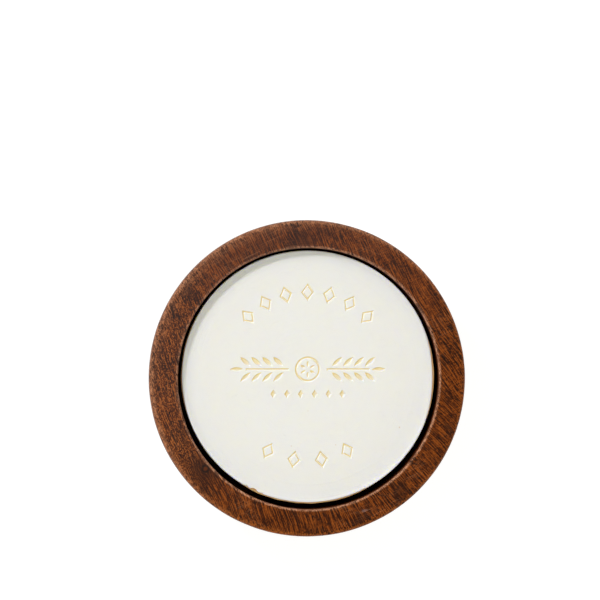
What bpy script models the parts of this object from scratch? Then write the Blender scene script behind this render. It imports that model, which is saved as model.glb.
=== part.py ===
"""A shaving soap puck in its turned wooden bowl.

The bowl is one piece of wood, turned hollow: a flat rim, a straight-sided recess and a foot ring.
The puck is a hard pressed soap that drops loosely into the recess and stays below the rim.
Its top face carries an ornament pressed by the mould: a flowering sprig, a row of studs below it
and two arcs of lozenges.

Metres, +Z up. The origin is on the bowl's axis, on the plane that its foot stands on.
"""

import math

import bmesh
import bpy
from mathutils import Matrix, Vector

# Puck. It is widest at the parting line, half way up, and drafted from there to both faces.
PUCK_DIAMETER = 0.0754
PUCK_THICKNESS = 0.0220
PUCK_DRAFT = 0.00015
PUCK_TOP_ROUND = 0.0004
PUCK_BASE_ROUND = 0.0022

# How the loose puck lies in the recess: off centre by these shares of its clearance
SIDE_CLEARANCE = 0.0010
SEAT_GAP = 0.0003
PUCK_SHIFT_SHARES = (-0.05, 0.6)

# Bowl
HEADSPACE = 0.0045
RIM_WIDTH = 0.0082
MOUTH_ROUND = 0.0007
RIM_ROUND = 0.0013
RIM_TUCK = 0.0001
WIDEST_BELOW_RIM = 0.0032
RECESS_ROUND = 0.0024
FLOOR_THICKNESS = 0.0077
FLANK_FULLNESS = 2.2
FOOT_DIAMETER = 0.0660
FOOT_HEIGHT = 0.0030
FOOT_QUIRK = 0.0010
FOOT_ROUND = 0.0008
FOOT_RING_WIDTH = 0.0058
FOOT_RECESS = 0.0015

# Pressed ornament: stroke widths are those at the face, and the walls slope in to the bottom.
PRESS_DEPTH = 0.00050
WALL_SLOPE_IN = 0.00024
PRESS_OVERSHOOT = 0.00020
MARK_GAP = 0.0004
BAND_RAISE = 0.0021
ROSE_DIAMETER = 0.0078
ROSE_STROKE = 0.00092
PETAL_COUNT = 6
PETAL_LENGTH = 0.0020
PETAL_WIDTH = 0.00095
STEM_GAP = 0.0016
STEM_WIDTH = 0.00080
LEAF_COUNT = 4
LEAF_PITCH = 0.00325
LEAF_LENGTH = 0.0044
LEAF_WIDTH = 0.00145
LEAF_ANGLE = math.radians(42)
STUD_ROW_DROP = 0.0052
STUD_PITCH = 0.0041
STUD_COUNT = 6
STUD_HEIGHT = 0.0028
STUD_WIDTH = 0.0019
BORDER_RADIUS = 0.0250
LOZENGE_HEIGHT = 0.0056
LOZENGE_WIDTH = 0.0042
LOZENGE_STROKE = 0.00080
UPPER_LOZENGES = 7
UPPER_STEP = math.radians(15)
LOWER_LOZENGES = 4
LOWER_STEP = math.radians(18.7)

# Facets
TURNED_SIDES = 96
ROUND_STEPS = 5
FLANK_STEPS = 12
ROSE_SIDES = 36
LEAF_SIDE_POINTS = 9

# Worked out from the sizes above
RECESS_RADIUS = PUCK_DIAMETER / 2 + SIDE_CLEARANCE
RECESS_FLOOR = FOOT_RECESS + FLOOR_THICKNESS
PUCK_BASE = RECESS_FLOOR + SEAT_GAP
PUCK_TOP = PUCK_BASE + PUCK_THICKNESS
BOWL_HEIGHT = PUCK_TOP + HEADSPACE
BOWL_RADIUS = RECESS_RADIUS + RIM_WIDTH
PETAL_REACH = ROSE_DIAMETER / 2 - ROSE_STROKE - MARK_GAP - PETAL_LENGTH / 2
STEM_START = ROSE_DIAMETER / 2 + STEM_GAP
STEM_LENGTH = LEAF_COUNT * LEAF_PITCH
LEAF_LIFT = STEM_WIDTH / 2 + MARK_GAP + LEAF_LENGTH / 2 * math.sin(LEAF_ANGLE)
END_LEAF_CENTRE = STEM_START + STEM_LENGTH + MARK_GAP + LEAF_LENGTH / 2

WOOD = {"Base Color": (0.110, 0.032, 0.011, 1), "Roughness": 0.42, "Metallic": 0}
SOAP = {"Base Color": (0.83, 0.81, 0.75, 1), "Roughness": 0.48, "Metallic": 0}


def clear_scene():
    for thing in list(bpy.data.objects):
        bpy.data.objects.remove(thing)


def material(name, settings):
    made = bpy.data.materials.new(name)
    made.use_nodes = True
    shader = made.node_tree.nodes["Principled BSDF"]
    for socket, value in settings.items():
        shader.inputs[socket].default_value = value
    return made


def new_object(name, bm, surface=None):
    """Puts the bmesh in the scene as an object, its faces turned outwards."""
    bmesh.ops.recalc_face_normals(bm, faces=bm.faces)
    mesh = bpy.data.meshes.new(name)
    bm.to_mesh(mesh)
    bm.free()
    made = bpy.data.objects.new(name, mesh)
    bpy.context.scene.collection.objects.link(made)
    if surface:
        mesh.materials.append(surface)
        mesh.shade_smooth()
        mesh.set_sharp_from_angle(angle=math.radians(30))
    return made


def arc(centre, radius, start, end, steps=ROUND_STEPS):
    """Points (r, z) along an arc, from the start angle to the end angle in degrees."""
    angles = [math.radians(start + (end - start) * i / steps) for i in range(steps + 1)]
    return [(centre[0] + radius * math.cos(a), centre[1] + radius * math.sin(a)) for a in angles]


def turned(profile, sides=TURNED_SIDES):
    """A bmesh turned about Z from points (r, z). Both ends of the profile are closed by a flat face."""
    bm = bmesh.new()
    rings = []
    for r, z in profile:
        turns = (2 * math.pi * k / sides for k in range(sides))
        rings.append([bm.verts.new((r * math.cos(a), r * math.sin(a), z)) for a in turns])
    for low, high in zip(rings, rings[1:]):
        for k in range(sides):
            after = (k + 1) % sides
            bm.faces.new((low[k], low[after], high[after], high[k]))
    bm.faces.new(rings[0])
    bm.faces.new(rings[-1])
    return bm


def flank():
    """The bowl's outside from just above the foot up to its widest ring, as a superellipse."""
    foot_edge = FOOT_DIAMETER / 2 + FOOT_QUIRK
    widest_z = BOWL_HEIGHT - WIDEST_BELOW_RIM
    points = []
    for i in range(FLANK_STEPS + 1):
        turn = math.pi / 2 * i / FLANK_STEPS
        across = math.sin(turn) ** (2 / FLANK_FULLNESS)
        down = math.cos(turn) ** (2 / FLANK_FULLNESS)
        r = foot_edge + (BOWL_RADIUS - foot_edge) * across
        points.append((r, widest_z - (widest_z - FOOT_HEIGHT) * down))
    return points


def shoulder():
    """From the widest ring up to the rim's rounding, leaning in by RIM_TUCK."""
    low = BOWL_HEIGHT - WIDEST_BELOW_RIM
    high = BOWL_HEIGHT - RIM_ROUND
    steps = 4
    shares = [i / steps for i in range(1, steps)]
    return [(BOWL_RADIUS - RIM_TUCK * s**2, low + (high - low) * s) for s in shares]


def make_bowl(wood):
    foot = FOOT_DIAMETER / 2
    ring_inside = foot - FOOT_RING_WIDTH
    rim_round_r = BOWL_RADIUS - RIM_TUCK - RIM_ROUND
    profile = [(ring_inside - FOOT_RECESS / 2, FOOT_RECESS), (ring_inside, 0)]
    profile += arc((foot - FOOT_ROUND, FOOT_ROUND), FOOT_ROUND, -90, 0, 3)
    profile += [(foot, FOOT_HEIGHT)]
    profile += flank()
    profile += shoulder()
    profile += arc((rim_round_r, BOWL_HEIGHT - RIM_ROUND), RIM_ROUND, 0, 90)
    mouth_round_r = RECESS_RADIUS + MOUTH_ROUND
    profile += arc((mouth_round_r, BOWL_HEIGHT - MOUTH_ROUND), MOUTH_ROUND, 90, 180)
    inner_round_r = RECESS_RADIUS - RECESS_ROUND
    profile += arc((inner_round_r, RECESS_FLOOR + RECESS_ROUND), RECESS_ROUND, 0, -90)
    new_object("wooden_bowl", turned(profile), wood)


def make_puck_blank(soap):
    """The puck before pressing, with its base on z = 0."""
    face = PUCK_DIAMETER / 2 - PUCK_DRAFT
    base_centre = (face - PUCK_BASE_ROUND, PUCK_BASE_ROUND)
    top_centre = (face - PUCK_TOP_ROUND, PUCK_THICKNESS - PUCK_TOP_ROUND)
    profile = arc(base_centre, PUCK_BASE_ROUND, -90, 0)
    profile += [(PUCK_DIAMETER / 2, PUCK_THICKNESS / 2)]
    profile += arc(top_centre, PUCK_TOP_ROUND, 0, 90)
    return new_object("soap_puck", turned(profile), soap)


def lens(length, width):
    """A pointed oval along X: two arcs that meet at its tips."""
    rise, half = width / 2, length / 2
    radius = (half**2 + rise**2) / (2 * rise)
    reach = math.asin(half / radius)
    upper = []
    for i in range(LEAF_SIDE_POINTS):
        a = -reach + 2 * reach * i / LEAF_SIDE_POINTS
        upper.append(Vector((radius * math.sin(a), radius * math.cos(a) - radius + rise)))
    return upper + [-p for p in upper]


def lozenge(width, height):
    half_w, half_h = width / 2, height / 2
    return [Vector((half_w, 0)), Vector((0, half_h)), Vector((-half_w, 0)), Vector((0, -half_h))]


def grown_lozenge(width, height, by):
    """The lozenge whose sides lie that far outside the given one."""
    side = math.hypot(width, height)
    return lozenge(width + 2 * by * side / height, height + 2 * by * side / width)


def circle(radius):
    turns = (2 * math.pi * i / ROSE_SIDES for i in range(ROSE_SIDES))
    return [Vector((radius * math.cos(a), radius * math.sin(a))) for a in turns]


def bar(length, width):
    half_l, half_w = length / 2, width / 2
    corners = ((half_l, -half_w), (half_l, half_w), (-half_l, half_w), (-half_l, -half_w))
    return [Vector(p) for p in corners]


def spread_at(z):
    """How far a pressed wall stands inside the outline at the face, at height z above the face."""
    return -z * WALL_SLOPE_IN / PRESS_DEPTH


def press(cutter, place, outline, inner=None):
    """Adds one press tool to the cutter. outline(inset) gives its loop of points for that inset, and
    inner(inset), on a tool that presses an outline only, the loop of the island left standing."""
    loops = []
    for shape in filter(None, (outline, inner)):
        for z in (PRESS_OVERSHOOT, -PRESS_DEPTH):
            ring = [place @ Vector((p.x, p.y, z)) for p in shape(spread_at(z))]
            loops.append([cutter.verts.new(p) for p in ring])
    count = len(loops[0])
    if inner:
        top, low, island_top, island_low = loops
        joined = [(top, low), (low, island_low), (island_low, island_top), (island_top, top)]
    else:
        joined = [loops]
        for cap in loops:
            cutter.faces.new(cap)
    for first, second in joined:
        for i in range(count):
            after = (i + 1) % count
            cutter.faces.new((first[i], first[after], second[after], second[i]))


def press_lens(cutter, place, length, width):
    """A lens keeps its proportions as it narrows, so that its tips stay sharp."""
    press(cutter, place, lambda inset: lens(length * (1 - 2 * inset / width), width - 2 * inset))


def press_lozenge_outline(cutter, place, width, height, stroke):
    press(
        cutter,
        place,
        lambda inset: grown_lozenge(width, height, -inset),
        lambda inset: grown_lozenge(width, height, inset - stroke),
    )


def press_ring(cutter, place, diameter, stroke):
    press(
        cutter,
        place,
        lambda inset: circle(diameter / 2 - inset),
        lambda inset: circle(diameter / 2 - stroke + inset),
    )


def at(x, y, turn=0.0):
    """A place on the puck's top face: a point from its centre, and a turn about Z."""
    return Matrix.Translation((x, y, PUCK_THICKNESS)) @ Matrix.Rotation(turn, 4, "Z")


def press_rose(cutter):
    """The ring at the sprig's centre, with petals round its middle."""
    press_ring(cutter, at(0, BAND_RAISE), ROSE_DIAMETER, ROSE_STROKE)
    for k in range(PETAL_COUNT):
        turn = 2 * math.pi * (k + 0.5) / PETAL_COUNT
        reach = Vector((math.cos(turn), math.sin(turn))) * PETAL_REACH
        place = at(reach.x, BAND_RAISE + reach.y, turn)
        press_lens(cutter, place, PETAL_LENGTH, PETAL_WIDTH)


def press_branch(cutter, side):
    """One half of the sprig: a stem with pairs of leaves and one at its end. side is 1 or -1."""
    press(
        cutter,
        at(side * (STEM_START + STEM_LENGTH / 2), BAND_RAISE),
        lambda inset: bar(STEM_LENGTH - 2 * inset, STEM_WIDTH - 2 * inset),
    )
    for k in range(LEAF_COUNT):
        x = side * (STEM_START + LEAF_PITCH * (k + 1))
        for up in (1, -1):
            place = at(x, BAND_RAISE + up * LEAF_LIFT, side * up * LEAF_ANGLE)
            press_lens(cutter, place, LEAF_LENGTH, LEAF_WIDTH)
    press_lens(cutter, at(side * END_LEAF_CENTRE, BAND_RAISE), LEAF_LENGTH, LEAF_WIDTH)


def press_stud_row(cutter):
    for k in range(STUD_COUNT):
        x = STUD_PITCH * (k - (STUD_COUNT - 1) / 2)
        press(
            cutter,
            at(x, -STUD_ROW_DROP),
            lambda inset: grown_lozenge(STUD_WIDTH, STUD_HEIGHT, -inset),
        )


def press_border(cutter, count, step, middle):
    """An arc of upright lozenges, spaced by step about the middle angle."""
    for k in range(count):
        a = middle + step * (k - (count - 1) / 2)
        place = at(BORDER_RADIUS * math.cos(a), BORDER_RADIUS * math.sin(a), a - math.pi / 2)
        press_lozenge_outline(cutter, place, LOZENGE_WIDTH, LOZENGE_HEIGHT, LOZENGE_STROKE)


def make_press_tool():
    cutter = bmesh.new()
    press_rose(cutter)
    press_branch(cutter, 1)
    press_branch(cutter, -1)
    press_stud_row(cutter)
    press_border(cutter, UPPER_LOZENGES, UPPER_STEP, math.pi / 2)
    press_border(cutter, LOWER_LOZENGES, LOWER_STEP, -math.pi / 2)
    tool = new_object("press_tool", cutter)
    tool.hide_render = True
    tool.display_type = "WIRE"
    return tool


def make_puck(soap):
    puck = make_puck_blank(soap)
    tool = make_press_tool()
    pressed = puck.modifiers.new("pressed ornament", "BOOLEAN")
    pressed.operation = "DIFFERENCE"
    pressed.object = tool
    shift = [SIDE_CLEARANCE * share for share in PUCK_SHIFT_SHARES]
    place = (*shift, PUCK_BASE)
    puck.location = place
    tool.location = place


clear_scene()
make_bowl(material("stained wood", WOOD))
make_puck(material("white soap", SOAP))
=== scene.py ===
"""The looks of a shaving soap puck in its turned wooden bowl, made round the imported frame.

Both pieces are modelled again with a fine mesh on the CAD's sizes, give or take a few tenths of a
millimetre of wear: the bowl as turned and hand-sanded wood, the puck as pressed soap with its
ornament, mould flash and chipped edge. Shapes are in metres and shader patterns in millimetres,
with +Z up and +Y roughly along the wood's grain.
"""

import math

import bpy
import numpy as np
from mathutils import Matrix, Vector, noise
from mathutils.geometry import delaunay_2d_cdt


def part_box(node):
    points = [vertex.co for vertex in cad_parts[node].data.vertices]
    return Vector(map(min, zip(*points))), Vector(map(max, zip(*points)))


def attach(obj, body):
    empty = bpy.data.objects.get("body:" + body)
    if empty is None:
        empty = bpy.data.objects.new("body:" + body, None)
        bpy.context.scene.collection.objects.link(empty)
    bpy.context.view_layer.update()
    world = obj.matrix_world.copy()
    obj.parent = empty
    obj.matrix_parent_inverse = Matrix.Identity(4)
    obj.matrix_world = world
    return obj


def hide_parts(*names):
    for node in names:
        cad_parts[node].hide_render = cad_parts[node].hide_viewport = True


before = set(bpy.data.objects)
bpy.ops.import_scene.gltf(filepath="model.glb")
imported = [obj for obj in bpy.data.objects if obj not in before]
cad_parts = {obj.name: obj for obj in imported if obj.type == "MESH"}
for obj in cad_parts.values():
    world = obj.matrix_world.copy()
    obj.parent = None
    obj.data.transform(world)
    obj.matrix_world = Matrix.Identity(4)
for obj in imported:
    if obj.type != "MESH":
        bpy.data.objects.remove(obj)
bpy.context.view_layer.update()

MM = 0.001

# ---------------------------------------------------------------- sizes read from the frame

bowl_low, bowl_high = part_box("wooden_bowl")
puck_low, puck_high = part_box("soap_puck")
RIM_Z = bowl_high.z
BOWL_RADIUS = (bowl_high.x - bowl_low.x) / 2
PUCK_TOP = puck_high.z
PUCK_BASE = puck_low.z
PUCK_RADIUS = (puck_high.x - puck_low.x) / 2
PUCK_CENTRE = (puck_low + puck_high) / 2


def cad_rings():
    """The turned CAD bowl's rings as rows of (radius, z)."""
    corners = np.array([v.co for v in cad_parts["wooden_bowl"].data.vertices])
    rings = np.column_stack((np.hypot(corners[:, 0], corners[:, 1]), corners[:, 2]))
    return np.unique(np.round(rings, 6), axis=0)


RINGS = cad_rings()
# Two measures nearer than this are the same.
SAME = 0.01 * MM
RECESS_RADIUS = RINGS[RINGS[:, 1] > PUCK_TOP][:, 0].min()
RECESS_FLOOR = RINGS[(RINGS[:, 0] < RECESS_RADIUS) & (RINGS[:, 1] > PUCK_BASE / 2)][:, 1].min()
WIDEST_Z = RINGS[RINGS[:, 0] > BOWL_RADIUS - SAME][:, 1].min()
FOOT_FLAT = RINGS[RINGS[:, 1] < SAME][:, 0]
FOOT_RADIUS = RINGS[RINGS[:, 1] < 1.0 * MM][:, 0].max()
FOOT_HEIGHT = RINGS[RINGS[:, 0] > FOOT_RADIUS + 0.5 * MM][:, 1].min()
QUIRK_RADIUS = RINGS[np.abs(RINGS[:, 1] - FOOT_HEIGHT) < SAME][:, 0].max()
FOOT_RECESS = RINGS[RINGS[:, 0] < FOOT_FLAT.min()][:, 1].min()

# ---------------------------------------------------------------- the fine bowl's own sizes

BOWL_SIDES = 416
INNERMOST = 0.4 * MM
MOUTH_ROUND = 0.5 * MM
RIM_ROUND = 1.3 * MM
RIM_TUCK = 0.1 * MM
RIM_CROWN = 0.10 * MM
RECESS_ROUND = 2.4 * MM
FOOT_ROUND = 0.8 * MM
FOOT_INNER_ROUND = 0.25 * MM
NECK_ROUND = 0.35 * MM
FLANK_FULLNESS = 2.2
UNDERSIDE_DOME = 0.25 * MM
# Lines that the turning tool left on the underside: their radii, half-width and height
TURNED_LINES = (4.5 * MM, 9.0 * MM, 16.0 * MM, 22.0 * MM)
TURNED_LINE_HALF_WIDTH = 0.35 * MM
TURNED_LINE_HEIGHT = 0.18 * MM
# The nib that it left in the middle of the recess floor
NIB_HEIGHT = 0.05 * MM
NIB_RADIUS = 1.2 * MM
# How far hand finishing took the surface from true, and over what distance it changes
HAND_UNEVENNESS = 0.05 * MM
HAND_SPREAD = 14 * MM
# The same on the rim's two edges: how far in from the corner each is worn, and how far round it
ARRIS_UNEVENNESS = 0.07 * MM
ARRIS_SPREAD = 3.2 * MM
OUTER_ARRIS_INSET = 0.4 * MM
OUTER_ARRIS_REACH = 0.9 * MM
INNER_ARRIS_INSET = 0.2 * MM
INNER_ARRIS_REACH = 0.5 * MM
INNER_ARRIS_SHARE = 0.6
# The outside was turned a little off the centre of the mouth, to the left and up
OFF_CENTRE = (-0.40 * MM, 0.09 * MM)

# ---------------------------------------------------------------- the fine puck's own sizes

PUCK_SIDES = 512
PUCK_DRAFT = 0.30 * MM
FACE_RADIUS = PUCK_RADIUS - PUCK_DRAFT
PUCK_TOP_ROUND = 0.24 * MM
PUCK_LIP = 0.32 * MM
PUCK_LIP_WIDTH = 2.4 * MM
PUCK_BASE_ROUND = 2.2 * MM
FACE_SWELL = 0.05 * MM
FACE_SWELL_SPREAD = 19 * MM
PRESS_DEPTH = 0.40 * MM
MARK_HALF_WIDTH = 0.42 * MM
# The lip that the press pushed up along each mark: its height, how far out it is, and its width
MARK_LIP = 0.035 * MM
MARK_LIP_FROM = 0.10 * MM
MARK_LIP_WIDTH = 0.14 * MM
# Each band of points on the face: their spacing, and the nearest and farthest from a mark
POINT_BANDS = (
    (0.13 * MM, 0, 0.50 * MM),
    (0.34 * MM, 0.50 * MM, 1.6 * MM),
    (0.85 * MM, 1.6 * MM, 1),
)
FLASH_BELOW_ROUND = 0.05 * MM
FLASH_THICKNESS = 0.22 * MM
# The flash's section: how far down, in thicknesses, and its share of the reach there
FLASH_SECTION = ((0, 0), (0.15, 0.85), (0.4, 1), (0.8, 1), (1.1, 0.75), (1.5, 0.1), (1.9, 0))
# Each stretch of flash left by the mould: middle and half-width in degrees, reach past the side
FLASH_STRETCHES = ((-92, 35, 0.34 * MM), (-1, 22, 0.16 * MM), (176, 26, 0.20 * MM))
# Each worn or chipped length of the top edge: angle in degrees, half-length and depth
CHIPS = (
    (1.0, 16.0 * MM, 0.32 * MM),
    (-91.0, 24.0 * MM, 0.12 * MM),
    (-115.5, 1.5 * MM, 0.45 * MM),
    (-119.0, 1.0 * MM, 0.30 * MM),
    (-111.5, 0.9 * MM, 0.22 * MM),
    (-64.0, 0.9 * MM, 0.18 * MM),
    (14.0, 0.8 * MM, 0.16 * MM),
    (158.0, 0.7 * MM, 0.12 * MM),
)
# How much of a chip's depth it takes off inwards and downwards
CHIP_INWARDS = 0.7
CHIP_DOWNWARDS = 0.8

# ---------------------------------------------------------------- small helpers


def arc(centre, radius, start, end, steps):
    """Points (r, z) along an arc, from the start angle to the end angle in degrees."""
    angles = np.radians(np.linspace(start, end, steps + 1))
    return [(centre[0] + radius * math.cos(a), centre[1] + radius * math.sin(a)) for a in angles]


def line(start, end, steps):
    """Points (r, z) along a straight run, without its two ends."""
    shares = np.linspace(0, 1, steps + 1)[1:-1]
    return [(start[0] + (end[0] - start[0]) * s, start[1] + (end[1] - start[1]) * s) for s in shares]


def smooth(low, high, value):
    """0 below low and 1 above high, with a smooth step between."""
    share = np.clip((value - low) / (high - low), 0, 1)
    return share * share * (3 - 2 * share)


def bump(value, middle, half_width):
    """1 at the middle, falling smoothly to 0 at half_width to either side."""
    return 1 - smooth(0, half_width, np.abs(value - middle))


def turn_gap(angle, middle):
    """The unsigned gap in degrees between two directions."""
    return np.abs((np.degrees(angle) - middle + 180) % 360 - 180)


def new_piece(name, points, faces, surface):
    """A smooth-shaded object made from points and faces, with one material."""
    mesh = bpy.data.meshes.new(name)
    mesh.from_pydata([tuple(p) for p in points], [], faces)
    mesh.materials.append(surface)
    mesh.validate()
    mesh.shade_smooth()
    made = bpy.data.objects.new(name, mesh)
    bpy.context.scene.collection.objects.link(made)
    return made


def ring_faces(first, second, sides):
    """Quads between two rings of points, given the index that each ring starts at."""
    return [
        (first + k, first + (k + 1) % sides, second + (k + 1) % sides, second + k)
        for k in range(sides)
    ]


def cap_faces(centre, ring, sides, outward):
    """Triangles from a centre point to a ring. outward is 1 for a cap that faces up, -1 for down."""
    steps = [(k, (k + 1) % sides) for k in range(sides)]
    if outward > 0:
        return [(centre, ring + a, ring + b) for a, b in steps]
    return [(centre, ring + b, ring + a) for a, b in steps]


# ---------------------------------------------------------------- shader nodes


class Surface:
    """A material with a Principled shader, and short ways to add and join its nodes."""

    def __init__(self, name, **settings):
        self.material = bpy.data.materials.new(name)
        self.material.use_nodes = True
        self.tree = self.material.node_tree
        self.shader = self.tree.nodes["Principled BSDF"]
        for socket, value in settings.items():
            self.shader.inputs[socket.replace("_", " ")].default_value = value

    def feed(self, socket, value):
        """Links another node's output to a socket, or sets the socket's own value."""
        if isinstance(value, bpy.types.NodeSocket):
            self.tree.links.new(value, socket)
        else:
            socket.default_value = value

    def add(self, kind, inputs, output=0, **settings):
        """Adds a node, feeds its inputs by name or number, and returns one of its outputs."""
        node = self.tree.nodes.new("ShaderNode" + kind)
        for name, value in settings.items():
            setattr(node, name, value)
        for name, value in inputs.items():
            self.feed(node.inputs[name], value)
        return node.outputs[output]

    def math(self, operation, *values):
        return self.add("Math", dict(enumerate(values)), operation=operation)

    def place(self):
        """Where a point is on the piece, in millimetres."""
        where = self.add("TexCoord", {}, "Object")
        return self.scaled(where, (1 / MM,) * 3)

    def scaled(self, vector, factors):
        return self.add("VectorMath", {0: vector, 1: factors}, operation="MULTIPLY")

    def moved(self, vector, offset):
        return self.add("VectorMath", {0: vector, 1: offset}, operation="ADD")

    def height(self, place):
        return self.add("SeparateXYZ", {"Vector": place}, 2)

    def length(self, vector):
        return self.add("VectorMath", {0: vector}, "Value", operation="LENGTH")

    def along(self, vector, direction):
        """How far a vector reaches along a direction."""
        return self.add("VectorMath", {0: vector, 1: direction}, "Value", operation="DOT_PRODUCT")

    def turned(self, vector, degrees):
        inputs = {"Vector": vector, "Angle": math.radians(degrees)}
        return self.add("VectorRotate", inputs, rotation_type="Z_AXIS")

    def without(self, share):
        return self.math("SUBTRACT", 1.0, share)

    def largest(self, *values):
        """The largest of some values that are never below 0."""
        most = 0.0
        for value in values:
            most = self.math("MAXIMUM", most, value)
        return most

    def noise(self, vector, size, detail=2.0, roughness=0.5, distortion=0.0):
        """Noise from 0 to 1, whose features are about as large as size along X, Y and Z, in mm."""
        stretched = self.scaled(vector, tuple(1 / s for s in size))
        settings = {
            "Vector": stretched,
            "Scale": 1.0,
            "Detail": detail,
            "Roughness": roughness,
            "Distortion": distortion,
        }
        return self.add("TexNoise", settings, "Fac")

    def step(self, value, low, high, bottom=0.0, top=1.0):
        """A smooth step from bottom, where value is low, to top, where it is high."""
        inputs = {"Value": value, "From Min": low, "From Max": high, "To Min": bottom, "To Max": top}
        return self.add("MapRange", inputs, interpolation_type="SMOOTHSTEP")

    def blend(self, share, first, second):
        """Value first where share is 0, and second where it is 1."""
        return self.add("Mix", {0: share, 2: first, 3: second})

    def mix(self, share, first, second):
        """Colour first where share is 0, and second where it is 1."""
        colours = [c if isinstance(c, bpy.types.NodeSocket) else (*c, 1) for c in (first, second)]
        return self.add("Mix", {0: share, 6: colours[0], 7: colours[1]}, 2, data_type="RGBA")

    def relief(self, height, distance, below=None):
        """A bump normal, from a height of 0 to 1 that stands for distance in metres."""
        inputs = {"Height": height, "Distance": distance, "Strength": 1.0}
        if below:
            inputs["Normal"] = below
        return self.add("Bump", inputs, "Normal")

    def finish(self, colour, roughness, normal):
        self.feed(self.shader.inputs["Base Color"], colour)
        self.feed(self.shader.inputs["Roughness"], roughness)
        self.feed(self.shader.inputs["Normal"], normal)
        return self.material


# ---------------------------------------------------------------- wood

WOOD_PORE = (0.012, 0.0045, 0.0030)
WOOD_DARK = (0.018, 0.0036, 0.0011)
WOOD_PATCH = (0.036, 0.0082, 0.0026)
WOOD_DEEP = (0.058, 0.0104, 0.0012)
WOOD_WARM = (0.118, 0.0232, 0.0026)
WOOD_LIGHT = (0.300, 0.0720, 0.0085)
WOOD_PALE = (0.340, 0.095, 0.018)
WOOD_EDGE = (0.400, 0.108, 0.016)
WOOD_RUBBED = (0.500, 0.210, 0.100)
# The mouth's edge: rubbed wood, and a painted highlight where it faces the lamp
WOOD_MOUTH_WEAR_AND_HIGHLIGHT = (0.660, 0.315, 0.180)
# Painted sheen: a grey for the lamp's reflection on the oiled rim
WOOD_SHEEN = (0.27, 0.26, 0.29)
WOOD_DUST = (0.150, 0.120, 0.130)

GRAIN_LEAN = 22
RIPPLE_SIDE = (0.90, 0.44, 0)
# The side towards the lamp, where the painted sheen lies; the figure is calmer there too
SHEEN_SIDE = (-0.64, 0.77, 0)
KNOT_PLACE = (-30.5, -26.6, 0)
KNOT_RADIUS = 0.95
# The sizes in mm of the figure's features, along X, Y and Z, where Y is along the grain
SHADE_SIZE = (1.7, 20, 1.7)
PATCH_SIZE = (10, 15, 10)
STROKE_SIZE = (0.21, 4.6, 0.21)
SPECKLE_SIZE = (0.22, 0.50, 0.22)
RIPPLE_SIZE = (2.4, 0.40, 2.4)
# The same for the lines that the growth layers draw below the rim, where Z is through the layers
LAYER_SIZE = (34, 70, 1.5)
LAYER_LINE_SIZE = (7, 11, 0.24)
LAYER_WANDER_SIZE = (30, 44, 60)
LAYER_WANDER = 7.0
LAYER_ARCH = 0.0045
# Each kind of pore: where its pattern starts, its width and length in mm, and the share of cells
# that have one
PORES = (
    ((0, 0, 0), 0.56, 1.4, 0.50),
    ((11, 5, 3), 0.75, 3.0, 0.36),
    ((23, 9, 6), 1.00, 7.0, 0.20),
)
# Each straight set of sanding marks: how far it is turned in degrees, the length of its marks in
# mm, and the height of the noise at which they start to show
STRAIGHT_SCRATCHES = ((66, 13, 0.60), (112, 10, 0.62))
# Each mark on the rim: its middle and half-sizes in mm, the most it covers, and its colour
WOOD_MARKS = (
    ((39.0, 18.5, 0), (2.3, 0.8, 1), 0.75, WOOD_PATCH),
    ((16.5, -39.0, 0), (1.3, 0.7, 1), 0.45, WOOD_DUST),
)
PORE_DEPTH = 0.04 * MM
STROKE_DEPTH = 0.08 * MM
SCRATCH_DEPTH = 0.02 * MM


def wood():
    """Open-pored reddish-brown wood, solid all through, with its grain along Y, oiled to a satin."""
    s = Surface("oiled wood", Specular_IOR_Level=0.12, Specular_Tint=(1.0, 0.75, 0.60, 1))
    place = s.place()
    level = s.scaled(place, (1, 1, 0))
    from_knot = s.add("VectorMath", {0: level, 1: KNOT_PLACE}, operation="SUBTRACT")
    knot_gap = s.length(from_knot)
    grain = grain_place(s, place, knot_gap, from_knot)
    colour, strokes = wood_figure(s, place, grain)
    colour = wood_marks(s, place, colour)
    pores = wood_pores(s, place, grain)
    colour = s.mix(s.math("MULTIPLY", pores, 0.85), colour, WOOD_PORE)
    colour = wood_knot(s, colour, knot_gap)
    scratches = wood_scratches(s, place)
    colour = s.mix(scratches, colour, WOOD_RUBBED)
    # Lighter rim edges: partly wear, partly painted highlight and sheen
    edge_wear_and_highlight, edge_wear_and_highlight_colour = worn_and_lit_edges(s, place)
    clear_of_pores = s.without(s.math("MULTIPLY", pores, 0.90))
    clear = s.math("MULTIPLY", clear_of_pores, s.step(strokes, 0.43, 0.55, 0.25, 1.0))
    colour = s.mix(s.math("MULTIPLY", edge_wear_and_highlight, clear), colour, edge_wear_and_highlight_colour)
    # Painted sheen, stronger on the side towards the lamp
    colour = s.mix(painted_sheen(s, place), colour, WOOD_SHEEN)

    roughness = s.step(strokes, 0.35, 0.65, 0.50, 0.40)
    roughness = s.math("ADD", roughness, s.math("MULTIPLY", pores, 0.20))
    roughness = s.math("SUBTRACT", roughness, s.math("MULTIPLY", edge_wear_and_highlight, 0.06))
    normal = s.relief(s.without(pores), PORE_DEPTH)
    normal = s.relief(strokes, STROKE_DEPTH, normal)
    normal = s.relief(s.without(scratches), SCRATCH_DEPTH, normal)
    return s.finish(colour, roughness, normal)


def grain_place(s, place, knot_gap, from_knot):
    """The place measured across and along the grain, which leans, wanders and bends round the knot."""
    pull = s.step(knot_gap, 0.4, 4.2, -0.72, 0.0)
    bend = s.add("VectorMath", {0: from_knot, "Scale": pull}, operation="SCALE")
    leaning = s.turned(s.moved(place, bend), -GRAIN_LEAN)
    wander = s.math("SUBTRACT", s.noise(place, (34, 46, 30), 1.5), 0.5)
    x_y_z = s.add("SeparateXYZ", {"Vector": place}, 0).node.outputs
    more_lean = s.math("MULTIPLY", s.step(x_y_z[0], 0, 44, 0.0, 0.26), x_y_z[1])
    sideways = s.math("MULTIPLY_ADD", wander, 10.0, more_lean)
    return s.moved(leaning, s.add("CombineXYZ", {"X": sideways}))


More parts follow.
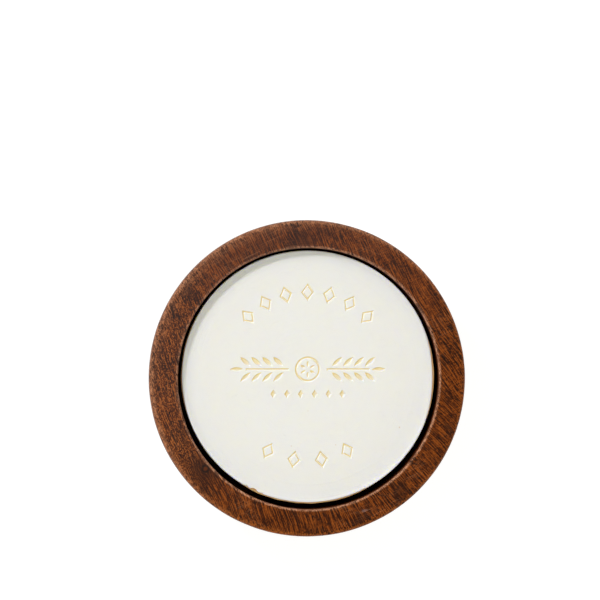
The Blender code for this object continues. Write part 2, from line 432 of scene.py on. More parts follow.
def layer_place(s, place, x):
    """The place measured from a growth layer: the layers lie flat and arch over the wood's heart."""
    arch = s.math("MULTIPLY", s.math("POWER", x, 2.0), LAYER_ARCH)
    wander = s.math("MULTIPLY", s.noise(place, LAYER_WANDER_SIZE, 1.0), LAYER_WANDER)
    return s.moved(place, s.add("CombineXYZ", {"Z": s.math("ADD", arch, wander)}))


def wood_figure(s, place, grain):
    """The wood's colour before its pores, and the strokes in it: soft changes of shade, fine dark
    and light strokes along the grain, and a few dark patches. The left is paler and speckled, and
    the upper left calmer."""
    x = s.add("SeparateXYZ", {"Vector": place}, 0)
    pale = s.step(x, -24, -38)
    calm = s.step(s.along(place, SHEEN_SIDE), 24, 40)
    below_rim = s.step(s.height(place), RIM_Z / MM - 1.8, RIM_Z / MM - 5.0)
    layered = layer_place(s, place, x)

    broad = s.noise(grain, SHADE_SIZE, 2.0, 0.5)
    patches = s.noise(place, PATCH_SIZE, 2.0, 0.45)
    shade = s.math("MULTIPLY_ADD", broad, 0.30, s.math("MULTIPLY", patches, 0.70))
    layers = s.noise(layered, LAYER_SIZE, 2.0, 0.5)
    shade = s.blend(s.math("MULTIPLY", below_rim, 0.65), shade, layers)
    colour = s.mix(s.step(shade, 0.38, 0.62), WOOD_DEEP, WOOD_WARM)

    strokes = wood_strokes(s, place, grain, pale)
    lines = s.noise(layered, LAYER_LINE_SIZE, 2.0, 0.55)
    strokes = s.blend(s.math("MULTIPLY", below_rim, 0.60), strokes, lines)
    dark = s.math("MULTIPLY_ADD", calm, -0.10, 0.89)
    colour = s.mix(s.step(strokes, 0.50, 0.42, 0.0, dark), colour, WOOD_DARK)
    light = s.math("MULTIPLY_ADD", pale, 0.22, s.math("MULTIPLY_ADD", calm, -0.14, 0.78))
    light_colour = s.mix(pale, WOOD_LIGHT, WOOD_PALE)
    colour = s.mix(s.step(strokes, 0.51, 0.58, 0.0, light), colour, light_colour)

    patched = s.math("MULTIPLY_ADD", below_rim, -0.40, 0.65)
    return s.mix(s.step(patches, 0.44, 0.34, 0.0, patched), colour, WOOD_PATCH), strokes


def wood_strokes(s, place, grain, pale):
    """Fine strokes along the grain, broken into speckles where the wood is pale, with a ripple
    across them on one side."""
    drawn = s.noise(grain, STROKE_SIZE, 1.5, 0.50)
    speckle = s.noise(grain, SPECKLE_SIZE, 1.0)
    strokes = s.blend(s.math("MULTIPLY_ADD", pale, 0.35, 0.22), drawn, speckle)
    ripple = s.math("SUBTRACT", s.noise(grain, RIPPLE_SIZE, 3.0, 0.6), 0.5)
    rippled = s.step(s.along(place, RIPPLE_SIDE), 5, 38, 0.0, 0.35)
    return s.math("MULTIPLY_ADD", ripple, rippled, strokes)


def wood_marks(s, place, colour):
    """Two small marks on the rim: a dark bruise and a smear of dust."""
    ragged = s.math("MULTIPLY", s.noise(place, (0.9, 0.5, 0.9), 2.0), 0.9)
    for middle, size, most, mark_colour in WOOD_MARKS:
        from_mark = s.scaled(s.moved(place, [-part for part in middle]), [1 / part for part in size])
        gap = s.math("ADD", s.length(s.scaled(from_mark, (1, 1, 0))), ragged)
        colour = s.mix(s.step(gap, 1.35, 0.75, 0.0, most), colour, mark_colour)
    return colour


def dashes(s, grain, width, length, kept):
    """Separate dashes along the grain, one to a cell, in a share of the cells."""
    cells = s.scaled(grain, (1 / width, 1 / length, 1 / width))
    node = s.add("TexVoronoi", {"Vector": cells, "Scale": 1.0, "Randomness": 1.0}, "Distance").node
    core = s.step(node.outputs["Distance"], 0.42, 0.24)
    chosen = s.add("SeparateColor", {"Color": node.outputs["Color"]}, 0)
    return s.math("MULTIPLY", core, s.math("LESS_THAN", chosen, kept))


def wood_pores(s, place, grain):
    """Open pores: dashes of three lengths, closer together in some places."""
    kinds = [dashes(s, s.moved(grain, start), *sizes) for start, *sizes in PORES]
    crowded = s.step(s.noise(place, (12, 16, 12), 1.0), 0.36, 0.60, 0.35, 1.0)
    return s.math("MULTIPLY", s.largest(*kinds), crowded)


def wood_knot(s, colour, knot_gap):
    """A dark ring round a warm heart, in a darker patch."""
    colour = s.mix(s.step(knot_gap, 7.5, 1.5, 0.0, 0.80), colour, WOOD_PATCH)
    ring_gap = s.math("ABSOLUTE", s.math("SUBTRACT", knot_gap, KNOT_RADIUS))
    colour = s.mix(s.step(ring_gap, 0.42, 0.12, 0.0, 0.88), colour, WOOD_PORE)
    return s.mix(s.step(knot_gap, 0.70, 0.35, 0.0, 0.70), colour, WOOD_WARM)


def wood_scratches(s, place):
    """Sanding marks: round the axis, and two straight sets that cross."""
    x_y_z = s.add("SeparateXYZ", {"Vector": place}, 0).node.outputs
    radius = s.length(s.scaled(place, (1, 1, 0)))
    angle = s.math("ARCTAN2", x_y_z[1], x_y_z[0])
    around = {"X": radius, "Y": s.math("MULTIPLY", angle, 42.0), "Z": x_y_z[2]}
    round_marks = s.noise(s.add("CombineXYZ", around), (0.16, 11, 0.16), 2.0, 0.6)
    sets = [s.step(round_marks, 0.60, 0.72)]
    for turn, length, faintest in STRAIGHT_SCRATCHES:
        straight = s.noise(s.turned(place, turn), (0.15, length, 2.0), 2.0, 0.6)
        sets.append(s.step(straight, faintest, faintest + 0.14))
    scratched = s.step(s.noise(place, (16, 16, 16), 1.0), 0.40, 0.60, 0.08, 0.42)
    return s.math("MULTIPLY", s.largest(*sets), scratched)


def worn_and_lit_edges(s, place):
    """The rim's outer edge and the edge of the mouth, where handling has rubbed the finish thin, and
    the colour there. Part is painted sheen and highlight: the outer edge is paler and wider on the
    side towards the lamp, and the mouth's edge is stronger where it faces the lamp."""
    radius = s.length(s.scaled(place, (1, 1, 0)))
    side = s.along(place, SHEEN_SIDE)
    outside = BOWL_RADIUS / MM
    mouth = RECESS_RADIUS / MM
    outer_edge = s.step(radius, outside - 1.8, outside - 0.3, 0.0, 0.95)
    # Painted sheen: a wider pale band only on the side towards the lamp
    sheen_band = s.step(radius, outside - 4.0, outside - 0.6, 0.0, 0.36)
    sheen_band = s.math("MULTIPLY", sheen_band, s.step(side, 18, 40))
    inner_edge = s.step(radius, mouth + 0.80, mouth + 0.25)
    # Painted highlight: the mouth's edge stronger on the lower right, where it faces the lamp
    inner_edge = s.math("MULTIPLY", inner_edge, s.step(side, 25, -25, 0.60, 1.0))
    high = s.step(s.height(place), RIM_Z / MM - 3.2, RIM_Z / MM - 0.3)
    edges = s.math("MULTIPLY", s.largest(outer_edge, sheen_band, inner_edge), high)
    worn = s.step(s.noise(place, (2.0, 2.0, 2.0), 3.0, 0.6), 0.36, 0.60, 0.40, 1.0)
    # Painted sheen: the outer edge paler on the side towards the lamp
    outer_colour = s.mix(s.step(side, -30, 30), WOOD_EDGE, WOOD_RUBBED)
    colour = s.mix(s.step(radius, mouth + 3.0, mouth + 1.5), outer_colour, WOOD_MOUTH_WEAR_AND_HIGHLIGHT)
    return s.math("MULTIPLY", edges, worn), colour


def painted_sheen(s, place):
    """A painted grey sheen, for the lamp's reflection on the oiled wood, stronger on one side."""
    return s.step(s.along(place, SHEEN_SIDE), -30, 42, 0.0, 0.050)


def turned_profile():
    """Points (r, z) of the bowl from the centre of its underside, round its outside, to the centre
    of the recess floor."""
    return underside() + foot_and_flank() + rim() + recess()


def underside():
    """The hollow under the foot ring, slightly domed, with the lines that turning left."""
    foot_inside = FOOT_FLAT.min()
    points = []
    for r in np.linspace(INNERMOST, foot_inside - FOOT_RECESS / 2, 64):
        groove = sum(bump(r, middle, TURNED_LINE_HALF_WIDTH) for middle in TURNED_LINES)
        dome = UNDERSIDE_DOME * (1 - (r / foot_inside) ** 2)
        points.append((r, FOOT_RECESS + dome + TURNED_LINE_HEIGHT * groove))
    points += line(points[-1], (foot_inside, 0), 4)
    corner = (foot_inside + FOOT_INNER_ROUND, FOOT_INNER_ROUND)
    return points + arc(corner, FOOT_INNER_ROUND, 225, 270, 3)


def foot_and_flank():
    """The foot ring from the flat that it stands on, its neck, and the side up to its widest."""
    foot_edge = FOOT_RADIUS - FOOT_ROUND
    points = line((FOOT_FLAT.min() + FOOT_INNER_ROUND, 0), (foot_edge, 0), 6)
    points += arc((foot_edge, FOOT_ROUND), FOOT_ROUND, -90, 0, 8)
    neck_z = FOOT_HEIGHT - NECK_ROUND
    points += line(points[-1], (FOOT_RADIUS, neck_z), 5)
    points += arc((FOOT_RADIUS + NECK_ROUND, neck_z), NECK_ROUND, 180, 90, 5)
    for turn in np.linspace(0, math.pi / 2, 51)[1:]:
        across = math.sin(turn) ** (2 / FLANK_FULLNESS)
        down = math.cos(turn) ** (2 / FLANK_FULLNESS)
        r = QUIRK_RADIUS + (BOWL_RADIUS - QUIRK_RADIUS) * across
        points.append((r, WIDEST_Z - (WIDEST_Z - FOOT_HEIGHT) * down))
    return points


def rim():
    """The shoulder, the slightly crowned rim and the rounded edge of the mouth."""
    shoulder_top = RIM_Z - RIM_ROUND
    outer = BOWL_RADIUS - RIM_TUCK - RIM_ROUND
    inner = RECESS_RADIUS + MOUTH_ROUND
    points = []
    for share in np.linspace(0, 1, 5)[1:-1]:
        z = WIDEST_Z + (shoulder_top - WIDEST_Z) * share
        points.append((BOWL_RADIUS - RIM_TUCK * share**2, z))
    points += arc((outer, shoulder_top), RIM_ROUND, 0, 90, 12)
    for r in np.linspace(outer, inner, 16)[1:-1]:
        share = (r - inner) / (outer - inner)
        points.append((r, RIM_Z - RIM_CROWN * (1 - 4 * share * (1 - share))))
    return points + arc((inner, RIM_Z - MOUTH_ROUND), MOUTH_ROUND, 90, 180, 8)


def recess():
    """The wall of the recess, the round at its foot, and its floor."""
    floor_round = RECESS_RADIUS - RECESS_ROUND
    round_z = RECESS_FLOOR + RECESS_ROUND
    points = line((RECESS_RADIUS, RIM_Z - MOUTH_ROUND), (RECESS_RADIUS, round_z), 12)
    points += arc((floor_round, round_z), RECESS_ROUND, 0, -90, 12)
    for r in np.linspace(floor_round, INNERMOST, 24)[1:]:
        points.append((r, RECESS_FLOOR + NIB_HEIGHT * bump(r, 0, NIB_RADIUS)))
    return points


def unevenness(place):
    """How far the hand-finished bowl stands out from a true turned shape."""
    slow = noise.fractal(Vector(place) / HAND_SPREAD, 1.0, 2.0, 2)
    return HAND_UNEVENNESS * slow


def arris_wear(place, r, z):
    """Extra unevenness on the rim's two edges, where the sanding cut deeper or less."""
    outer_gap = math.hypot(r - BOWL_RADIUS + OUTER_ARRIS_INSET, z - RIM_Z + OUTER_ARRIS_INSET)
    inner_gap = math.hypot(r - RECESS_RADIUS - INNER_ARRIS_INSET, z - RIM_Z + INNER_ARRIS_INSET)
    near_outer = math.exp(-((outer_gap / OUTER_ARRIS_REACH) ** 2))
    near_inner = math.exp(-((inner_gap / INNER_ARRIS_REACH) ** 2))
    quick = noise.fractal(Vector(place) / ARRIS_SPREAD, 1.0, 2.0, 3)
    return ARRIS_UNEVENNESS * quick * (near_outer + INNER_ARRIS_SHARE * near_inner)


def bowl_ring(r, z, out_r, out_z):
    """One turned ring's points, moved out of true along its outward way (out_r, out_z)."""
    outside = float(smooth(RECESS_RADIUS + MOUTH_ROUND, BOWL_RADIUS - RIM_ROUND, r))
    centre_x, centre_y = (outside * part for part in OFF_CENTRE)
    points = []
    for k in range(BOWL_SIDES):
        a = 2 * math.pi * k / BOWL_SIDES
        place = (r * math.cos(a), r * math.sin(a), z)
        off = unevenness(place) + arris_wear(place, r, z)
        if z < 0.05 * MM:
            off = 0
        x = centre_x + (r + off * out_r) * math.cos(a)
        y = centre_y + (r + off * out_r) * math.sin(a)
        points.append((x, y, z + off * out_z))
    return points


def make_bowl():
    profile = turned_profile()
    count = len(profile)
    points = []
    for i, (r, z) in enumerate(profile):
        before, after = profile[max(i - 1, 0)], profile[min(i + 1, count - 1)]
        run, rise = after[0] - before[0], after[1] - before[1]
        length = math.hypot(run, rise)
        points += bowl_ring(r, z, rise / length, -run / length)
    faces = []
    for i in range(count - 1):
        faces += ring_faces(i * BOWL_SIDES, (i + 1) * BOWL_SIDES, BOWL_SIDES)
    base_centre = len(points)
    points.append((0, 0, profile[0][1]))
    faces += cap_faces(base_centre, 0, BOWL_SIDES, -1)
    floor_centre = len(points)
    points.append((0, 0, profile[-1][1]))
    faces += cap_faces(floor_centre, (count - 1) * BOWL_SIDES, BOWL_SIDES, 1)
    return new_piece("turned_bowl", points, faces, wood())


# ---------------------------------------------------------------- soap

SOAP_WHITE = (0.862, 0.850, 0.832)
SOAP_WARM = (0.862, 0.847, 0.818)
SOAP_COOL = (0.862, 0.868, 0.862)
# Painted highlight round the edge of the face
SOAP_EDGE_HIGHLIGHT = (0.955, 0.970, 0.950)
# Painted highlight on the marks' walls that face the lamp
SOAP_MARK_HIGHLIGHT = (0.975, 0.985, 0.985)
# Painted warm shade on the marks' walls that face away from the lamp
SOAP_MARK_SHADE = (0.86, 0.70, 0.34)
SOAP_AGED = (0.74, 0.42, 0.14)
SOAP_SPECK = (0.66, 0.42, 0.22)
# The marks' walls facing this way, to the lower right and away from the lamp, get painted shade
SHADED_WALL_WAY = (0.707, -0.707, 0)
# The radius of the ring that the mould left, and the spacing of its fainter turned lines, in mm
MOULD_RING = 32.0
MOULD_LINES = 1.3
SPECK_CELL = 4.6
WAX_SIZE = (0.55, 0.55, 0.55)
DENT_SIZE = (3.4, 3.4, 3.4)
WAX_HEIGHT = 0.035 * MM
DENT_HEIGHT = 0.14 * MM
MOULD_LINE_HEIGHT = 0.025 * MM
SCUFF_DEPTH = 0.035 * MM


def soap():
    """Hard white soap, faintly translucent, yellowed on the flash, with painted warm shade and
    painted highlights on the walls of the pressed marks.
    """
    s = Surface(
        "pressed soap",
        Subsurface_Weight=0.50,
        Subsurface_Radius=(1.0, 0.90, 0.42),
        Subsurface_Scale=0.0013,
        Specular_IOR_Level=0.42,
    )
    place = s.place()
    centre = (-PUCK_CENTRE.x / MM, -PUCK_CENTRE.y / MM, 0)
    level = s.scaled(s.moved(place, centre), (1, 1, 0))
    radius = s.length(level)
    depth = s.math("SUBTRACT", PUCK_TOP / MM, s.height(place))
    colour = soap_shade(s, place, radius)
    colour = soap_in_marks(s, colour, radius, depth)
    colour = s.mix(yellowed_edge(s, level, radius, depth), colour, SOAP_AGED)
    colour = s.mix(soap_specks(s, place), colour, SOAP_SPECK)

    scuffs = soap_scuffs(s, place)
    waxy = s.noise(place, WAX_SIZE, 3.0, 0.6)
    dents = s.noise(place, DENT_SIZE, 2.0, 0.5)
    roughness = s.step(waxy, 0.3, 0.7, 0.44, 0.56)
    roughness = s.math("ADD", roughness, s.math("MULTIPLY", scuffs, 0.12))
    normal = s.relief(waxy, WAX_HEIGHT)
    normal = s.relief(dents, DENT_HEIGHT, normal)
    normal = s.relief(mould_lines(s, place, radius), MOULD_LINE_HEIGHT, normal)
    normal = s.relief(s.without(scuffs), SCUFF_DEPTH, normal)
    return s.finish(colour, roughness, normal)


def soap_shade(s, place, radius):
    """The soap's white: faintly clouded and cooler towards the edge, with a painted highlight
    in a narrow ring at the edge.
    """
    face = FACE_RADIUS / MM
    clouds = s.noise(place, (16, 16, 16), 3.0, 0.55)
    colour = s.mix(s.step(clouds, 0.35, 0.65), SOAP_WARM, SOAP_WHITE)
    colour = s.mix(s.step(radius, face - 9, face - 0.8, 0.0, 0.7), colour, SOAP_COOL)
    # Painted highlight in the outermost millimetre or so of the face
    return s.mix(s.step(radius, face - 1.3, face - 0.2), colour, SOAP_EDGE_HIGHLIGHT)


def soap_in_marks(s, colour, radius, depth):
    """The colour in the pressed marks: painted warm shade on the walls that face away from the lamp,
    and a painted highlight on the walls that face it."""
    face = FACE_RADIUS / MM
    within = s.step(radius, face - 3.0, face - 4.0)
    pressed = s.math("MULTIPLY", s.step(depth, 0.02, 0.16), within)
    facing = s.along(s.add("TexCoord", {}, "Normal"), SHADED_WALL_WAY)
    # Walls facing away from the lamp get painted warm shade, walls facing it a painted highlight
    shaded_walls = s.step(facing, -0.30, 0.20, 0.10)
    colour = s.mix(s.math("MULTIPLY", pressed, shaded_walls), colour, SOAP_MARK_SHADE)
    lit_walls = s.step(facing, -0.10, -0.40)
    return s.mix(s.math("MULTIPLY", pressed, lit_walls), colour, SOAP_MARK_HIGHLIGHT)


def yellowed_edge(s, level, radius, depth):
    """How far the soap has yellowed on the flash and on the edge beside it."""
    face = FACE_RADIUS / MM
    on_edge = s.math("MULTIPLY", s.step(depth, -0.12, 0.0), s.step(radius, face - 1.5, face - 0.6))
    past_side = s.step(radius, face + 0.02, face + 0.10)
    aged = s.math("MULTIPLY", s.largest(on_edge, past_side), s.step(depth, 0.75, 0.40))
    aged = s.math("MULTIPLY", aged, flash_side(s, level))
    return s.math("MULTIPLY", aged, 0.95)


def flash_side(s, level):
    """Where the puck's edge has flash, by the way it faces from the puck's middle."""
    stretches = []
    for middle, half, _ in FLASH_STRETCHES:
        way = (math.cos(math.radians(middle)), math.sin(math.radians(middle)), 0)
        end, full = [PUCK_RADIUS / MM * math.cos(math.radians(half * part)) for part in (1.05, 0.75)]
        stretches.append(s.step(s.along(level, way), end, full))
    return s.largest(*stretches)


def soap_specks(s, place):
    """Tan specks: cells of a pattern, kept where the cell's own random value is high."""
    cells = {"Vector": place, "Scale": 1 / SPECK_CELL, "Randomness": 1.0}
    node = s.add("TexVoronoi", cells, "Distance").node
    gap = s.math("MULTIPLY", node.outputs["Distance"], SPECK_CELL)
    chosen = s.step(s.add("SeparateColor", {"Color": node.outputs["Color"]}, 0), 0.72, 0.76)
    specks = s.math("MULTIPLY", s.step(gap, 0.34, 0.12), chosen)
    return s.math("MULTIPLY", specks, 0.50)


def mould_lines(s, place, radius):
    """One faint ring that the mould left, and patches of its fainter turned lines."""
    swirl = s.step(s.noise(place, (15, 15, 15), 1.0), 0.45, 0.62)
    turned = s.math("SINE", s.math("MULTIPLY", radius, 2 * math.pi / MOULD_LINES))
    turned = s.math("MULTIPLY", s.step(turned, 0.80, 1.0), swirl)
    ring_gap = s.math("ABSOLUTE", s.math("SUBTRACT", radius, MOULD_RING))
    return s.largest(turned, s.step(ring_gap, 0.45, 0.10))


def soap_scuffs(s, place):
    """Hairline scuffs, in two directions."""
    steep = s.step(s.noise(s.turned(place, 70), (0.22, 9, 9), 2.0, 0.6), 0.68, 0.76)
    shallow = s.step(s.noise(s.turned(place, -24), (0.20, 7, 7), 2.0, 0.6), 0.69, 0.77)
    return s.largest(steep, shallow)


def mark_outlines():
    """The pressed marks' outlines on the CAD puck's face, as rows of (x, y, x, y)."""
    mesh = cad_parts["soap_puck"].data
    corners = np.array([v.co for v in mesh.vertices])
    sides = {}
    for polygon in mesh.polygons:
        if abs(polygon.normal.z) > 0.9:
            continue
        loop = list(polygon.vertices)
        for a, b in zip(loop, loop[1:] + loop[:1]):
            ends = corners[[a, b]]
            on_face = np.all(np.abs(ends[:, 2] - PUCK_TOP) < SAME)
            inside = np.all(np.hypot(*(ends[:, :2] - PUCK_CENTRE.xy).T) < PUCK_RADIUS - 2 * MM)
            if on_face and inside:
                key = tuple(sorted(map(tuple, np.round(ends[:, :2], 7))))
                sides[key] = [*key[0], *key[1]]
    return np.array(list(sides.values()))


def gaps_to(outlines, points):
    """Each point's distance to the nearest outline."""
    nearest = np.full(len(points), np.inf)
    for x1, y1, x2, y2 in outlines:
        run = np.array((x2 - x1, y2 - y1))
        from_start = points - (x1, y1)
        share = np.clip(from_start @ run / (run @ run), 0, 1)
        gap = from_start - share[:, None] * run
        np.minimum(nearest, (gap * gap).sum(1), out=nearest)
    return np.sqrt(nearest)


def inside_of(outlines, points):
    """Whether each point is in a pressed mark: a line out from it crosses an odd number of sides."""
    crossings = np.zeros(len(points), int)
    for x1, y1, x2, y2 in outlines:
        if y1 == y2:
            continue
        spans = (points[:, 1] > min(y1, y2)) & (points[:, 1] <= max(y1, y2))
        x_there = x1 + (points[:, 1] - y1) * (x2 - x1) / (y2 - y1)
        crossings += spans & (x_there > points[:, 0])
    return crossings % 2 == 1


def spread_points(outlines, edge):
    """Points over the puck's face within the radius edge: close together on the marks, and wider
    apart away from them."""
    chosen = []
    for spacing, low, high in POINT_BANDS:
        rows = int(edge / (spacing * math.sqrt(0.75))) + 1
        columns = int(edge / spacing) + 1
        j, i = np.mgrid[-rows : rows + 1, -columns : columns + 1]
        x = (i + 0.5 * (j % 2)) * spacing
        y = j * spacing * math.sqrt(0.75)
        grid = np.column_stack((x.ravel(), y.ravel()))
        grid = grid[np.hypot(*grid.T) < edge - 0.45 * spacing]
        gaps = gaps_to(outlines, grid)
        chosen.append(grid[(gaps >= low) & (gaps < high)])
    return np.concatenate(chosen)


def pressed_height(outlines, points):
    """How far the face stands above (or, in a mark, below) its plane: a rounded V, and a slight
    lip that the press pushed up along it."""
    gaps = gaps_to(outlines, points)
    inside = inside_of(outlines, points)
    share = np.clip(gaps / MARK_HALF_WIDTH, 0, 1)
    groove = -PRESS_DEPTH * np.sin(share * math.pi / 2) ** 1.15
    lip = MARK_LIP * np.exp(-(((gaps - MARK_LIP_FROM) / MARK_LIP_WIDTH) ** 2))
    return np.where(inside, groove, lip)


def face_swell(place):
    """The slow unevenness of the pressed face."""
    return FACE_SWELL * noise.fractal(Vector(place) / FACE_SWELL_SPREAD, 1.0, 2.0, 2)


def flash_reach(angle):
    """How far the mould's flash sticks out at an angle, in metres: ragged, and only in stretches."""
    reach = 0.0
    for middle, half, most in FLASH_STRETCHES:
        taper = 1 - smooth(0.55, 1.0, turn_gap(angle, middle) / half)
        reach = max(reach, most * float(taper))
    where = Vector((math.cos(angle), math.sin(angle), 0.3)) * 9
    ragged = 0.85 + 0.55 * noise.fractal(where, 1.0, 2.0, 3)
    return reach * max(ragged, 0.15)


def chip_depth(angle):
    """How much of the top edge is missing at an angle."""
    depth = 0.0
    for middle, half_length, most in CHIPS:
        along = math.radians(float(turn_gap(angle, middle))) * PUCK_RADIUS
        share = max(0.0, 1 - (along / half_length) ** 2)
        depth = max(depth, most * share)
    return depth


def edge_profile():
    """Rows of (r, z, flash share, chip share) down the puck's side, from just outside the face to
    just inside the base."""
    lip_top = PUCK_TOP + PUCK_LIP
    rows = []
    for share in np.linspace(0, 1, 9)[1:-1]:
        r = FACE_RADIUS - PUCK_LIP_WIDTH + (PUCK_LIP_WIDTH - PUCK_TOP_ROUND) * share
        rows.append((r, PUCK_TOP + PUCK_LIP * share**1.8, 0, share**6))
    top_centre = (FACE_RADIUS - PUCK_TOP_ROUND, lip_top - PUCK_TOP_ROUND)
    rows += [(r, z, 0, 1) for r, z in arc(top_centre, PUCK_TOP_ROUND, 90, 0, 9)]
    flash_top = lip_top - PUCK_TOP_ROUND - FLASH_BELOW_ROUND
    for drop, share in FLASH_SECTION:
        rows.append((FACE_RADIUS, flash_top - drop * FLASH_THICKNESS, share, 0.3))
    middle_z = (PUCK_TOP + PUCK_BASE) / 2
    start = rows[-1]
    for share in np.linspace(0, 1, 9)[1:]:
        rows.append((start[0] + PUCK_DRAFT * share, start[1] + (middle_z - start[1]) * share, 0, 0))
    base_centre = (FACE_RADIUS - PUCK_BASE_ROUND, PUCK_BASE + PUCK_BASE_ROUND)
    for share in np.linspace(0, 1, 9)[1:-1]:
        z = middle_z + (base_centre[1] - middle_z) * share
        rows.append((PUCK_RADIUS - PUCK_DRAFT * share, z, 0, 0))
    rows += [(r, z, 0, 0) for r, z in arc(base_centre, PUCK_BASE_ROUND, 0, -90, 10)]
    for r in np.linspace(base_centre[0], 0.8 * MM, 22)[1:]:
        rows.append((r, PUCK_BASE, 0, 0))
    return rows


def puck_face():
    """The pressed face's points, with those of its border ring first, and its triangles."""
    outlines = mark_outlines() - [*PUCK_CENTRE.xy, *PUCK_CENTRE.xy]
    edge = FACE_RADIUS - PUCK_LIP_WIDTH
    ring = np.array([(edge * math.cos(a), edge * math.sin(a)) for a in puck_turns()])
    flat = np.concatenate((ring, spread_points(outlines, edge)))
    border = [(k, (k + 1) % PUCK_SIDES) for k in range(PUCK_SIDES)]
    # The triangulation keeps the order of its points.
    laid = delaunay_2d_cdt([Vector(p) for p in flat], border, [], 1, 1e-8)
    spots = np.array([tuple(p) for p in laid[0]])
    points = []
    for (x, y), height in zip(spots, pressed_height(outlines, spots)):
        points.append((x, y, PUCK_TOP + height + face_swell((x, y, 0))))
    return points, [tuple(f) for f in laid[2]]


def puck_turns():
    """The angles of a puck ring's points."""
    return [2 * math.pi * k / PUCK_SIDES for k in range(PUCK_SIDES)]


def side_ring(r, z, flash_share, chip_share):
    """One ring of points round the puck's side, with its flash and chips."""
    near_top = float(smooth(PUCK_TOP - 3 * MM, PUCK_TOP, z))
    points = []
    for a in puck_turns():
        chip = chip_depth(a) * chip_share
        reach = r + flash_reach(a) * flash_share - CHIP_INWARDS * chip
        x, y = reach * math.cos(a), reach * math.sin(a)
        points.append((x, y, z - CHIP_DOWNWARDS * chip + near_top * face_swell((x, y, 0))))
    return points


def make_puck():
    points, faces = puck_face()
    last_ring = 0
    for row in edge_profile():
        start = len(points)
        points += side_ring(*row)
        faces += ring_faces(start, last_ring, PUCK_SIDES)
        last_ring = start
    centre = len(points)
    points.append((0, 0, PUCK_BASE))
    faces += cap_faces(centre, last_ring, PUCK_SIDES, -1)
    placed = [(x + PUCK_CENTRE.x, y + PUCK_CENTRE.y, z) for x, y, z in points]
    return new_piece("pressed_puck", placed, faces, soap())


# ---------------------------------------------------------------- floor, camera and lights

FLOOR_HALF = 3.0
FLOOR_GLOW = 0.86
FLOOR_DARK = (0.26, 0.26, 0.26)
FLOOR_LIGHT = (0.30, 0.30, 0.30)

# The camera hangs this far above the rim, beside the bowl's middle, and aims at a point level with
# the rim that leaves more room above the bowl than below it.
CAMERA_AWAY = 1.20
CAMERA_BESIDE = (-0.047, 0.010)
VIEW_WIDTH = 0.1773
SENSOR_WIDTH = 36.0
VIEW_CENTRE = (-0.00256, 0.02326)

KEY_FROM = (-1, 1)
KEY_ELEVATION = 52
KEY_DISTANCE = 2.40
KEY_SIZE = 0.33
KEY_POWER = 20.4
KEY_COLOUR = (0.985, 0.975, 1.09)

SKY_STRENGTH = 1.405
SKY_COLOUR = (1.0, 1.012, 0.90)
SKY_AXIS = (-0.11, 0.11, 0.98)
# The sky's light as shares of its strength, by the cosine of the angle from its axis
SKY_STOPS = (
    (0, 0.70),
    (0.18, 0.60),
    (0.30, 0.28),
    (0.40, 0.22),
    (0.62, 0.24),
    (0.74, 0.92),
    (0.90, 0.92),
    (0.97, 0.10),
    (1, 0.08),
)


def make_floor():
    """A pale paper floor that glows a little, so it stays white in the shade of the bowl."""
    surface = Surface("pale floor", Specular_IOR_Level=0.2, Emission_Color=(1, 1, 1, 1))
    surface.shader.inputs["Emission Strength"].default_value = FLOOR_GLOW
    paper = surface.noise(surface.place(), (0.8, 0.8, 0.8), 3.0, 0.6)
    colour = surface.mix(paper, FLOOR_DARK, FLOOR_LIGHT)
    material = surface.finish(colour, 0.8, surface.relief(paper, 0.02 * MM))
    corners = [(x * FLOOR_HALF, y * FLOOR_HALF, 0) for x, y in ((-1, -1), (1, -1), (1, 1), (-1, 1))]
    floor = new_piece("floor", corners, [(0, 1, 2, 3)], material)


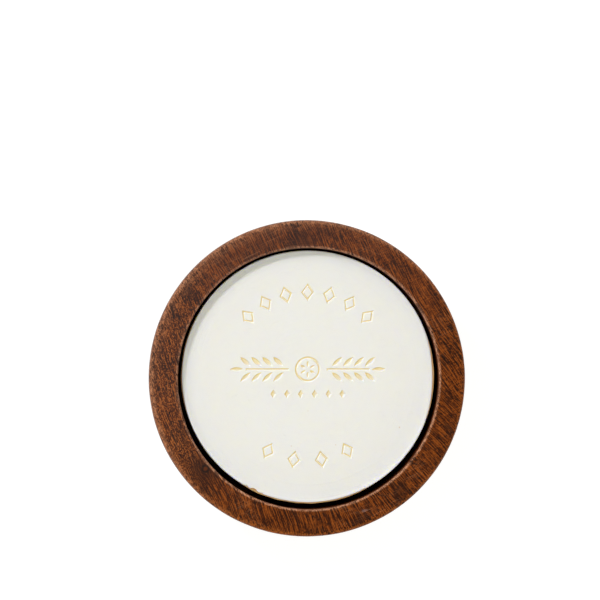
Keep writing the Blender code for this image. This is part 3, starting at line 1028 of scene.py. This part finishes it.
def make_camera():
    """A long lens that looks almost straight down, with +Y up in its view."""
    data = bpy.data.cameras.new("camera")
    data.sensor_width = SENSOR_WIDTH
    data.lens = SENSOR_WIDTH * CAMERA_AWAY / VIEW_WIDTH
    data.clip_start = 0.01
    camera = bpy.data.objects.new("camera", data)
    target = Vector((*VIEW_CENTRE, RIM_Z))
    camera.location = (*CAMERA_BESIDE, RIM_Z + CAMERA_AWAY)
    back = (camera.location - target).normalized()
    right = Vector((0, 1, 0)).cross(back).normalized()
    camera.rotation_euler = Matrix((right, back.cross(right), back)).transposed().to_euler()
    bpy.context.scene.collection.objects.link(camera)
    bpy.context.scene.camera = camera


def make_key_light():
    """A small soft lamp above the upper left, which draws the rim's shadow on the puck."""
    data = bpy.data.lights.new("key", "AREA")
    data.shape = "DISK"
    data.size = KEY_SIZE
    data.energy = KEY_POWER
    data.color = KEY_COLOUR
    lamp = bpy.data.objects.new("key", data)
    rise = math.radians(KEY_ELEVATION)
    toward = Vector((*Vector(KEY_FROM).normalized() * math.cos(rise), math.sin(rise)))
    lamp.location = Vector((0, 0, RIM_Z)) + toward * KEY_DISTANCE
    lamp.rotation_euler = toward.to_track_quat("Z", "Y").to_euler()
    bpy.context.scene.collection.objects.link(lamp)


def make_surroundings():
    """A white studio: a pale horizon, and a broad ring of soft light round a darker ceiling, where
    the camera hangs."""
    world = bpy.data.worlds.new("studio")
    bpy.context.scene.world = world
    world.use_nodes = True
    nodes, links = world.node_tree.nodes, world.node_tree.links
    direction = nodes.new("ShaderNodeTexCoord")
    rise = nodes.new("ShaderNodeVectorMath")
    rise.operation = "DOT_PRODUCT"
    links.new(direction.outputs["Generated"], rise.inputs[0])
    rise.inputs[1].default_value = Vector(SKY_AXIS).normalized()
    shade = nodes.new("ShaderNodeValToRGB")
    links.new(rise.outputs["Value"], shade.inputs["Fac"])
    stops = shade.color_ramp.elements
    for height, _ in SKY_STOPS[1:-1]:
        stops.new(height)
    for stop, (_, light) in zip(stops, SKY_STOPS):
        stop.color = (*(light * part for part in SKY_COLOUR), 1)
    links.new(shade.outputs["Color"], nodes["Background"].inputs["Color"])
    nodes["Background"].inputs["Strength"].default_value = SKY_STRENGTH


bowl = make_bowl()
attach(bowl, "bowl")
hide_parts("wooden_bowl")

puck = make_puck()
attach(puck, "puck")
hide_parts("soap_puck")

make_floor()
make_camera()
make_key_light()
make_surroundings()
bpy.context.scene.view_settings.view_transform = "Standard"
